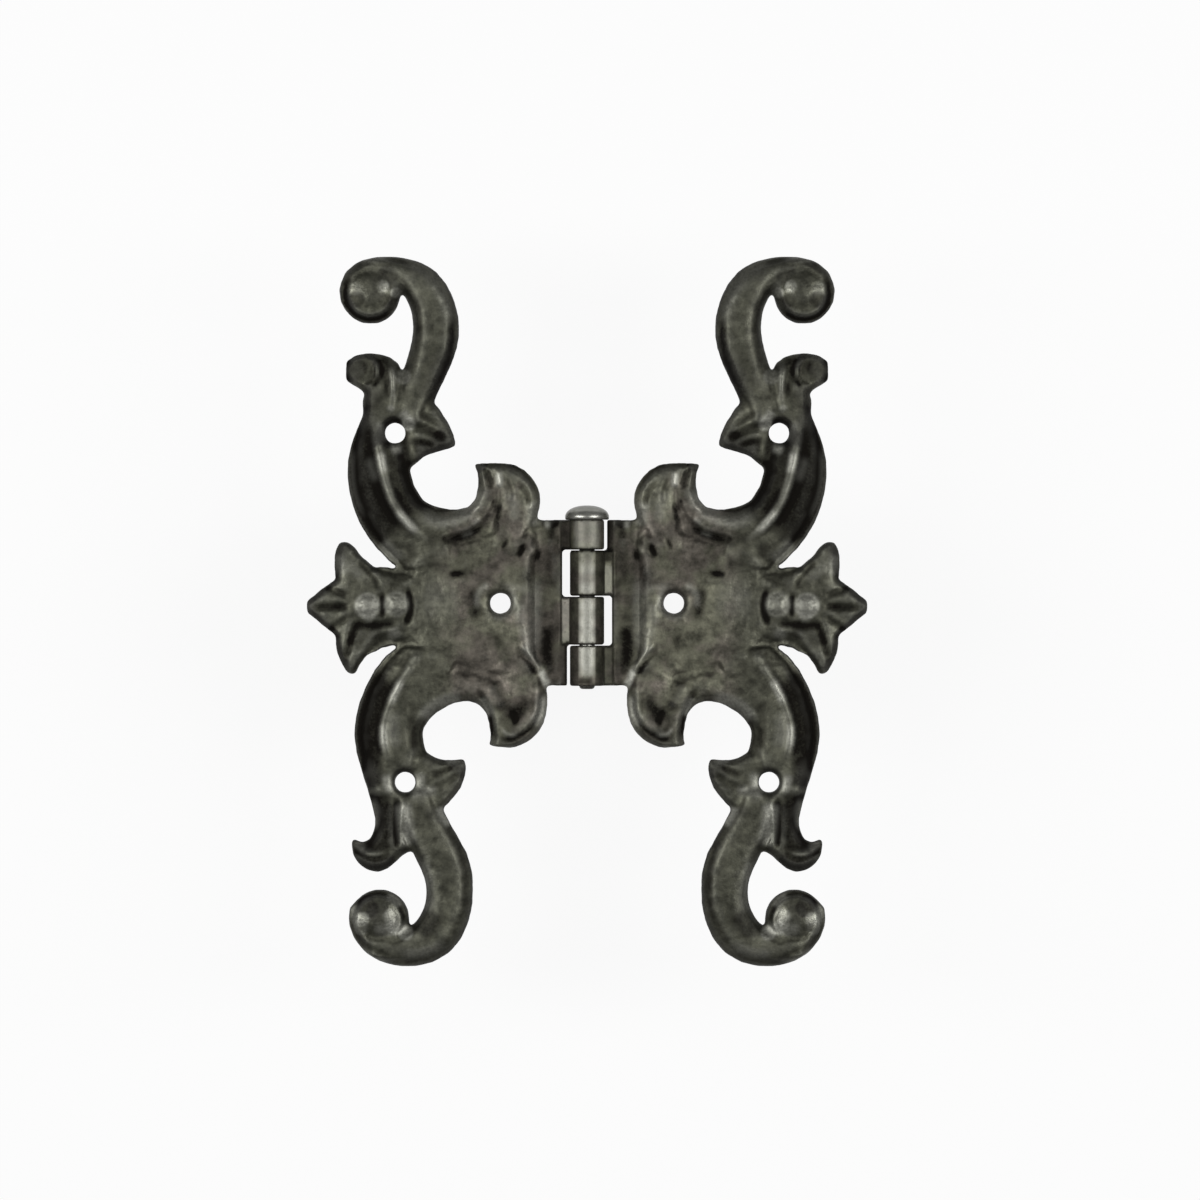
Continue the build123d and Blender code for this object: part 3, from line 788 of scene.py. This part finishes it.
@dataclass
class LeafCasting:
    """One scrolled leaf, cast with its two knuckles."""

    side: Side
    node: str
    body: str
    knuckles: Line
    voxel: float = 0.27
    quick_voxel: float = 0.5
    edge_reach: int = 10
    body_out: float = 30.0
    body_along: float = 16.0
    scrolls_along: float = 40.0
    web_out: float = 2.4
    web_height: float = 2.42
    web_fall: float = 0.36
    finial_out: float = 33.5
    top_joint: float = 9.4
    knuckle_joints: tuple[float, ...] = (9.52, 2.38, -5.18)
    joint_grime: tuple[float, ...] = (1.0, 0.3, 0.1)
    joint_width: float = 0.28
    # Places along the barrel, and width, of the rings where its painted highlight is brighter.
    highlight_places: tuple[float, ...] = (6.6, 3.7, 0.9, -1.7, -4.4, -5.9, -7.6)
    highlight_width: float = 0.9
    mesh: bpy.types.Mesh = field(init=False)

    def blank(self) -> None:
        """Even skin of small faces over a merged copy of the CAD leaf."""
        copy = bmesh.new()
        copy.from_mesh(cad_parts[self.node].data)
        bmesh.ops.remove_doubles(copy, verts=copy.verts, dist=0.002 * MM)
        rough = bpy.data.meshes.new(f"{self.node}_rough")
        copy.to_mesh(rough)
        copy.free()
        holder = put(f"{self.node}_rough", rough)
        skin = holder.modifiers.new("even skin", "REMESH")
        skin.mode = "VOXEL"
        skin.voxel_size = self.voxel * MM
        view = bpy.context.evaluated_depsgraph_get()
        self.mesh = bpy.data.meshes.new_from_object(holder.evaluated_get(view))
        self.mesh.name = f"{self.node}_casting"
        bpy.data.objects.remove(holder)
        bpy.data.meshes.remove(rough)

    def places(self) -> tuple[Array, Array]:
        """Where the vertices are and which way they face.

        Returns:
            Points in millimetres and normals, both with x counted out from the pin.
        """
        count = len(self.mesh.vertices)
        points, normals = np.empty(count * 3), np.empty(count * 3)
        self.mesh.vertices.foreach_get("co", points)
        self.mesh.vertex_normals.foreach_get("vector", normals)
        out = np.array([self.side.value, 1.0, 1.0])
        return points.reshape(-1, 3) / MM * out, normals.reshape(-1, 3) * out

    def store(self, points: Array) -> None:
        """Put moved vertices back in the mesh.

        Args:
            points: Millimetres, with x counted out from the pin.
        """
        kept = points * MM
        kept[:, 0] *= self.side.value
        self.mesh.vertices.foreach_set("co", kept.ravel())
        self.mesh.update()

    def average(self, chosen: Array, rounds: int, upright: bool = False) -> None:
        """Smooth the chosen vertices.

        Args:
            chosen: True for each vertex that moves.
            rounds: How many times they are averaged with their neighbours.
            upright: Whether only their heights change, which keeps the outline.
        """
        soft = bmesh.new()
        soft.from_mesh(self.mesh)
        soft.verts.ensure_lookup_table()
        verts = [soft.verts[place] for place in np.flatnonzero(chosen)]
        for _ in range(rounds):
            bmesh.ops.smooth_vert(
                soft, verts=verts, factor=0.5,
                use_axis_x=not upright, use_axis_y=not upright, use_axis_z=True,
            )
        soft.to_mesh(self.mesh)
        soft.free()
        self.mesh.update()

    def ease(self, rounds: int, upright: bool = False, body_only: bool = False) -> None:
        """Smooth the front of the leaf.

        Args:
            rounds: How many times the vertices are averaged.
            upright: Whether only their heights change, which keeps the outline.
            body_only: Whether only the body between the arms is smoothed.
        """
        points, normals = self.places()
        front = (points[:, 2] > 1.1) & (points[:, 0] > LEAF_START) & (normals[:, 2] > 0.1)
        if body_only:
            front &= (points[:, 0] < self.body_out) & (np.abs(points[:, 1]) < self.body_along)
        self.average(front, rounds, upright)

    def relax(self, rounds: int) -> None:
        """Even out the seams inside the body and the arms, clear of every edge.

        Args:
            rounds: How many times the vertices are averaged.
        """
        points, normals = self.places()
        edge = (normals[:, 2] < 0.35) & (points[:, 2] < PLATE_TOP)
        clear = spread(edge.astype(float), mesh_edges(self.mesh), self.edge_reach) < 0.02
        self.average(clear & (points[:, 2] > 1.0) & (points[:, 0] > 6.0) & (normals[:, 2] > 0.0), rounds)

    def round_walls(self, rounds: int, beyond: float = -2.0) -> None:
        """Take the flats off the outline without shrinking it.

        Args:
            rounds: How many times the places are averaged.
            beyond: Millimetres up or down from the middle up to which walls keep their shape.
        """
        points, normals = self.places()
        wall = np.abs(normals[:, 2]) < 0.85
        pairs = mesh_edges(self.mesh)
        pairs = pairs[wall[pairs].all(axis=1)]
        held = np.zeros(len(points))
        held[np.unique(pairs)] = 1.0
        held *= ramp(points[:, 0], LEAF_START, 5.6) * ramp(np.abs(points[:, 1]), beyond, beyond + 2.0)
        even_out(points, (0, 1), pairs, rounds, held)
        self.store(points)

    def trim_back(self, rounds: int) -> None:
        """Even out the scalloped corner between the walls and the back.

        Args:
            rounds: How many times the places are averaged.
        """
        points, normals = self.places()
        pairs = mesh_edges(self.mesh)
        beside = spread((np.abs(normals[:, 2]) < 0.9).astype(float), pairs, 2) > 0.03
        corner = beside & (points[:, 2] < PLATE_TOP / 2) & (points[:, 0] > LEAF_START)
        even_out(points, (0, 1, 2), pairs[corner[pairs].all(axis=1)], rounds, corner)
        points[:, 2] = np.maximum(points[:, 2], 0.0)
        self.store(points)

    def carve(self) -> dict[str, Array]:
        """Cut the strokes and raise the bosses.

        Returns:
            Each vertex's worn metal and painted highlight, patina and painted shade, and polish.
        """
        points, normals = self.places()
        flat, level = points[:, :2], points[:, 2].copy()
        front = ramp(normals[:, 2], 0.15, 0.5) * ramp(level, 0.9, 1.2) * ramp(points[:, 0], LEAF_START, 5.0)
        rise, rub_and_highlight, patina_and_shade, polish = (np.zeros(len(points)) for _ in range(4))
        for stroke in STROKES:
            share = stroke.weight(flat)
            if stroke.section is LEVEL:
                rise += np.maximum(stroke.depth - level - rise, 0.0) * share
            else:
                rise += stroke.depth * share
            rub_and_highlight += max(stroke.tone, 0.0) * share
            patina_and_shade += max(-stroke.tone, 0.0) * share
        carved = level + rise
        for boss in BOSSES:
            held = boss.held(flat)
            carved = carved * (1.0 - held) + boss.height(flat) * held
            rub_and_highlight += boss.tone * held
            polish = np.maximum(polish, boss.polish * held)
            patina_and_shade = np.maximum(patina_and_shade * (1.0 - 0.8 * held), boss.shadow(flat))
        for spot in SPOTS:
            held = spot.held(flat)
            rub_and_highlight += max(spot.tone, 0.0) * held
            patina_and_shade += max(-spot.tone, 0.0) * held
        carved = np.maximum(carved, np.minimum(level, CUT_FLOOR))
        points[:, 2] += (carved - level) * front
        self.store(points)
        skirt = np.maximum(front, ramp(points[:, 2], 0.4, 0.8) * (points[:, 0] > LEAF_START))
        return {"rub_and_highlight": rub_and_highlight * front, "patina_and_shade": patina_and_shade * skirt, "polish": polish * front}

    def curl_webs(self) -> None:
        """Round the web of each knuckle into a curl that falls gently to the plate."""
        points, normals = self.places()
        out, along, level = points.T
        curl = self.web_height - self.web_fall * (out - self.web_out)
        curl += (PLATE_TOP - curl) * ramp(out, 3.85, 4.35)
        web = ramp(out, 2.35, 2.6) * ramp(out, 4.5, 4.3) * ramp(normals[:, 2], 0.2, 0.5)
        inside = (level > 1.2) & (np.abs(normals[:, 1]) < 0.5)
        carried = np.any([(along > low) & (along < high) for low, high in self.knuckles], axis=0)
        points[:, 2] += (np.maximum(level, curl) - level) * web * (inside & carried)
        self.store(points)

    def roughen(self) -> None:
        """Small unevenness of a sand casting, more of it on the finial and the body."""
        points, normals = self.places()
        out, along, level = points.T
        swell = np.array([noise.fractal(Vector(point) * 0.55, 1.0, 2.0, 3) for point in points])
        dents = np.array([noise.noise(Vector(point) * 1.6) for point in points])
        finial = ramp(np.abs(out - self.finial_out), 14.0, 6.0) * ramp(np.abs(along), 11.0, 7.0)
        amount = 0.035 + 0.05 * finial + 0.03 * ramp(out, 26.0, 21.0)
        amount *= ramp(out, 3.6, 5.1) * ramp(level, 0.0, 0.4)
        self.store(points + normals * (amount * (swell + 0.6 * dents))[:, None])

    def barrel_tones(
        self, out: Array, along: Array, facing: Array,
    ) -> tuple[Array, Array]:
        """Painted highlight and painted shade on the knuckles and their webs, with grime in the joints.

        Args:
            out: Millimetres out from the pin.
            along: Millimetres up from the middle.
            facing: How far each place faces the front, 1 for straight out.

        Returns:
            The share painted bright and the share painted black at each place.
        """
        # Painted highlight along the top of the barrel, brighter in its middle, lower down and in rings along
        # it.
        rings = sum(np.exp(-(((along - place) / self.highlight_width) ** 2)) for place in self.highlight_places)
        core = ramp(facing, 0.82, 0.98)
        core *= 1.0 + 0.5 * ramp(facing, 0.965, 0.995) * ramp(along, 5.0, 1.0)
        line = core * (0.3 + 0.4 * ramp(along, 9.0, -4.0) + 0.5 * rings)
        # The painted highlight is wider and more even on the top knuckle, and left off the end of the barrel.
        line = np.maximum(line, 0.42 * ramp(facing, 0.45, 0.8) * ramp(along, self.top_joint, 9.7))
        line *= ramp(along, -10.5, -9.3)
        # The curls of the middle webs catch the light.
        webs = ramp(along, 7.4, 6.8) * (0.1 + 0.9 * ramp(along, -4.9, -4.3))
        webs *= 0.25 * ramp(out, 2.45, 2.65) * ramp(facing, 0.6, 0.8)
        # Black grime in the joints, and painted shade on the flanks, the lower end and the outer webs.
        joints = np.array([
            np.exp(-(((along - place) / self.joint_width) ** 2)) for place in self.knuckle_joints
        ])
        rust = joints.T @ np.array(self.joint_grime)
        flanks = (0.6 - 0.5 * ramp(along, 9.3, 9.7)) * ramp(facing, 0.95, 0.81)
        flanks *= 1.0 - np.clip(webs * 4.0, 0.0, 1.0)
        end = 0.6 * ramp(along, -9.7, -10.6) * ramp(out, 1.2, 0.3) * ramp(along, -11.2, -10.9)
        outer = (0.7 * ramp(along, 7.4, 8.0) + 0.4 * ramp(along, -4.9, -5.5)) * (out > self.web_out)
        black = np.clip(np.maximum.reduce([flanks, end, outer]) + rust, 0.0, 1.0)
        rubbed_and_highlight = np.maximum(0.85 * line * (out < 2.5), webs) * (1.0 - np.clip(rust, 0.0, 0.9))
        return rubbed_and_highlight, black

    def mark(self, tones: dict[str, Array]) -> None:
        """Store the masks that the finish reads.

        Args:
            tones: Each vertex's worn metal and painted highlight, patina and painted shade, and polish.
        """
        points, normals = self.places()
        pairs = mesh_edges(self.mesh)
        out, along, level = points.T
        facing = normals[:, 2]
        near, wide = spread(level, pairs, 3), spread(level, pairs, 30)
        crest = np.clip((near - wide - 0.02) / 0.16, 0.0, 1.0) * (facing > 0.3)
        hollow = np.clip((wide - near - 0.02) / 0.2, 0.0, 1.0) * (facing > 0.0)
        # Painted shade on walls and on slopes, less on polished domes, and darker where the leaf lies low.
        wall_shade = 0.55 * ramp(facing, 0.9, 0.62)
        slope_shade = 0.42 * ramp(facing, 0.975, 0.905) * (1.0 - 0.7 * tones["polish"])
        low = 0.9 * ramp(level, 1.9, 1.4) * (0.4 + 0.5 * ramp(out, 8.0, 11.0)) * ramp(out, 30.0, 26.0)
        barrel = ramp(out, 4.3, 3.8)
        leaf = 1.0 - barrel
        rubbed_and_highlight, black = self.barrel_tones(out, along, facing)
        # The hollow mask holds the black patina of the hollows, the painted shade and the darker low plates,
        # and on the barrel its painted shade and the grime in its joints.
        store_masks(self.mesh, {
            "crest": 0.4 * crest * leaf,
            "hollow": np.maximum.reduce([hollow, wall_shade, slope_shade, low]) * leaf + black * barrel,
            "patina_and_shade": np.clip(1.1 * spread(tones["patina_and_shade"], pairs, 1), 0.0, 1.0) * leaf,
            "rub_and_highlight": spread(tones["rub_and_highlight"], pairs, 1) + rubbed_and_highlight * barrel,
            "polish": (0.5 + 0.5 * tones["polish"]) * leaf,
            "tint": ramp(out, 25.0, 19.0) * ramp(np.abs(along), 24.0, 15.0),
        })

    def build(self) -> bpy.types.Object:
        """Leaf that takes the place of the CAD node.

        Returns:
            The finished piece.
        """
        self.blank()
        self.round_walls(16)
        self.round_walls(60, beyond=self.scrolls_along)
        self.trim_back(10)
        self.relax(14)
        self.ease(9, upright=True)
        self.ease(60, upright=True, body_only=True)
        tones = self.carve()
        self.curl_webs()
        self.ease(2, upright=True)
        self.ease(1)
        self.roughen()
        self.mark(tones)
        self.mesh.shade_smooth()
        return put(f"{self.node}_casting", self.mesh)

    def dress(self, leaf: bpy.types.Object, finish: bpy.types.Material) -> None:
        """Give the leaf its finish and hang it on its body.

        Args:
            leaf: The finished piece.
            finish: Its material.
        """
        self.mesh.materials.clear()
        self.mesh.materials.append(finish)
        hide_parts(self.node)
        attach(leaf, self.body)
        log.info("%s: %d vertices", leaf.name, len(self.mesh.vertices))


@dataclass
class HingePin:
    """Pin with a domed head and a rounded tip, turned in one piece."""

    node: str = "hinge_pin"
    body: str = "left_leaf"
    head_radius: float = 3.4
    head_length: float = 2.2
    head_edge: float = 0.35
    head_power: float = 0.92
    # How far in and how far up the points of the head's lower edge are.
    head_underside: Line = ((0.0, 0.3), (0.08, 0.06), (0.2, 0.0))
    head_points: int = 15
    shank_radius: float = 1.2
    barrel_rise: float = 14.2
    tip: float = -11.95
    tip_length: float = 0.5
    tip_points: int = 6
    # Rows of points round the stretch of bare pin that shows in the lowest joint.
    bare_rows: tuple[float, ...] = (-4.7, -4.9, -5.45, -5.65)
    bare_reach: float = 0.35
    steps: int = 72

    def outline(self) -> Line:
        """Half section of the pin.

        Returns:
            Distances from its axis and places along it, from the head's middle to the tip's.
        """
        dome = self.head_length - self.head_edge
        points = [(0.0, self.barrel_rise + self.head_length)]
        for turn in range(1, self.head_points):
            angle = math.radians(90.0 - 90.0 * turn / self.head_points)
            reach, up = math.cos(angle) ** self.head_power, math.sin(angle) ** self.head_power
            points.append((self.head_radius * reach, self.barrel_rise + self.head_edge + dome * up))
        for inset, up in self.head_underside:
            points.append((self.head_radius - inset, self.barrel_rise + up))
        for place in (self.barrel_rise, *self.bare_rows, self.tip + self.tip_length):
            points.append((self.shank_radius, place))
        for turn in range(1, self.tip_points + 1):
            angle = math.radians(90.0 * turn / self.tip_points)
            points.append((
                self.shank_radius - self.tip_length * (1.0 - math.cos(angle)),
                self.tip + self.tip_length * (1.0 - math.sin(angle)),
            ))
        return (*points, (0.0, self.tip))

    def build(self) -> bpy.types.Object:
        """Turn the pin about its axis.

        Returns:
            The finished piece.
        """
        turned = bmesh.new()
        row = [turned.verts.new((reach * MM, place * MM, PIN_HEIGHT * MM)) for reach, place in self.outline()]
        edges = [turned.edges.new(pair) for pair in zip(row, row[1:])]
        bmesh.ops.spin(
            turned, geom=row + edges, axis=(0.0, 1.0, 0.0), cent=(0.0, 0.0, PIN_HEIGHT * MM),
            angle=2.0 * math.pi, steps=self.steps, use_merge=True,
        )
        bmesh.ops.remove_doubles(turned, verts=turned.verts, dist=0.001 * MM)
        bmesh.ops.recalc_face_normals(turned, faces=turned.faces)
        mesh = bpy.data.meshes.new("pin_domed")
        turned.to_mesh(mesh)
        turned.free()
        mesh.shade_smooth()
        return put("pin_domed", mesh)

    def mark(self, mesh: bpy.types.Mesh) -> None:
        """Store the masks that the finish reads.

        Args:
            mesh: The mesh of the pin.
        """
        points = np.empty(len(mesh.vertices) * 3)
        mesh.vertices.foreach_get("co", points)
        out, along, _ = points.reshape(-1, 3).T / MM
        # Painted highlight down the middle of the head and on the stretch of pin that shows in the lowest
        # joint, and painted shade on the head's sides and the hidden shank.
        side = np.maximum(ramp(np.abs(out), 1.3, 2.2), ramp(along, 15.5, 16.0))
        head = along > self.barrel_rise - 0.1
        bare = np.abs(along - np.mean(self.bare_rows)) < self.bare_reach
        none = np.zeros(len(along))
        store_masks(mesh, {
            "crest": none,
            "hollow": np.where(head, 0.1 * side, np.where(bare, 0.0, 0.4)),
            "patina_and_shade": none,
            "rub_and_highlight": np.where(head, 0.85 - 0.4 * side, 0.8 * bare),
            "polish": np.where(head, 0.9, 0.6),
            "tint": none,
        })

    def dress(self, pin: bpy.types.Object, finish: bpy.types.Material) -> None:
        """Give the pin its finish and hang it on its body.

        Args:
            pin: The finished piece.
            finish: Its material.
        """
        self.mark(pin.data)
        pin.data.materials.append(finish)
        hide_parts(self.node)
        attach(pin, self.body)
        log.info("%s: %d vertices", pin.name, len(pin.data.vertices))


@dataclass
class Studio:
    """White table, two strip lamps and the camera overhead, in metres but for the sensor."""

    floor_side: float = 6.0
    floor_drop: float = 0.045
    floor_white: Colour = (0.82, 0.82, 0.82, 1.0)
    floor_glow: float = 0.88
    lamp_out: float = 0.30
    lamp_along: float = 0.03
    lamp_up: float = 0.38
    lamp_size: tuple[float, float] = (0.13, 0.34)
    lamp_power: float = 1.35
    sky: float = 0.24
    camera_height: float = 0.9
    frame_width: float = 0.186
    sensor: float = 36.0
    aim: tuple[float, float] = (0.0020, 0.0018)

    def floor(self) -> None:
        """White table that keeps a faint shadow, low enough for the leaf that folds back."""
        flat = bmesh.new()
        bmesh.ops.create_grid(flat, x_segments=1, y_segments=1, size=self.floor_side / 2)
        bmesh.ops.translate(flat, verts=flat.verts, vec=(0.0, 0.0, -self.floor_drop))
        mesh = bpy.data.meshes.new("table")
        flat.to_mesh(mesh)
        flat.free()
        made, board = bare_material("white_table")
        rays = board.add("ShaderNodeLightPath").outputs
        seen = board.maths("MAXIMUM", rays["Is Camera Ray"], rays["Is Glossy Ray"])
        seen = board.maths("MAXIMUM", seen, rays["Is Transmission Ray"])
        share = board.times(seen, self.floor_glow)
        paint = board.add("ShaderNodeBsdfDiffuse", {"Color": self.floor_white}).outputs[0]
        glow = board.add("ShaderNodeEmission", {"Color": WHITE}).outputs[0]
        both = board.add("ShaderNodeMixShader", {0: share, 1: paint, 2: glow}).outputs[0]
        board.add("ShaderNodeOutputMaterial", {"Surface": both})
        mesh.materials.append(made)
        table = put("table", mesh)

    def lamps(self) -> None:
        """Strip lamps on both sides and an even sky."""
        for name, way in (("lamp_left", -1.0), ("lamp_right", 1.0)):
            light = bpy.data.lights.new(name, "AREA")
            light.shape = "RECTANGLE"
            light.size, light.size_y = self.lamp_size
            light.energy = self.lamp_power
            lamp = put(name, light)
            lamp.location = (way * self.lamp_out, self.lamp_along, self.lamp_up)
            lamp.rotation_euler = Vector(lamp.location).to_track_quat("Z", "Y").to_euler()
        world = bpy.data.worlds.new("studio")
        world.use_nodes = True
        back = world.node_tree.nodes["Background"]
        back.inputs["Color"].default_value = WHITE
        back.inputs["Strength"].default_value = self.sky
        bpy.context.scene.world = world

    def camera(self) -> None:
        """Camera straight above the hinge, with the pin upright in the picture."""
        lens = bpy.data.cameras.new("camera")
        lens.sensor_width = self.sensor
        lens.lens = self.sensor * self.camera_height / self.frame_width
        eye = put("camera", lens)
        eye.location = (*self.aim, self.camera_height)
        bpy.context.scene.camera = eye

    def build(self) -> None:
        """Set up the whole studio."""
        self.camera()
        self.floor()
        self.lamps()
        bpy.context.scene.view_settings.view_transform = "Standard"


def main() -> None:
    """Build the pieces in order and report each of them."""
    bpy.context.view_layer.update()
    groups = SurfaceGroups()
    iron = AntiqueMetal(
        name="antique_iron",
        field=(0.065, 0.065, 0.049, 1.0),
        black=(0.0062, 0.0052, 0.0038, 1.0),
        rubbed_and_highlight=(0.32, 0.32, 0.282, 1.0),
        brown=(0.115, 0.103, 0.086, 1.0),
        olive=(0.1, 0.099, 0.073, 1.0),
        pitting=0.45,
        relief=0.5,
    ).material(groups)
    steel = AntiqueMetal(
        name="pin_steel",
        field=(0.12, 0.118, 0.104, 1.0),
        black=(0.014, 0.013, 0.011, 1.0),
        rubbed_and_highlight=(0.33, 0.33, 0.3, 1.0),
        brown=(0.12, 0.1, 0.085, 1.0),
        olive=(0.12, 0.11, 0.085, 1.0),
        pitting=0.25,
        relief=0.25,
    ).material(groups)
    castings = (
        LeafCasting(Side.LEFT, "left_leaf", "left_leaf", ((9.6, 14.2), (-5.1, 2.3))),
        LeafCasting(Side.RIGHT, "right_leaf", "right_leaf", ((2.45, 9.45), (-11.45, -5.25))),
    )
    for casting in castings:
        casting.dress(casting.build(), iron)
    pin = HingePin()
    pin.dress(pin.build(), steel)
    Studio().build()


if __name__ == "__main__":
    logging.basicConfig(level=logging.INFO, format="%(name)s %(message)s")
    main()
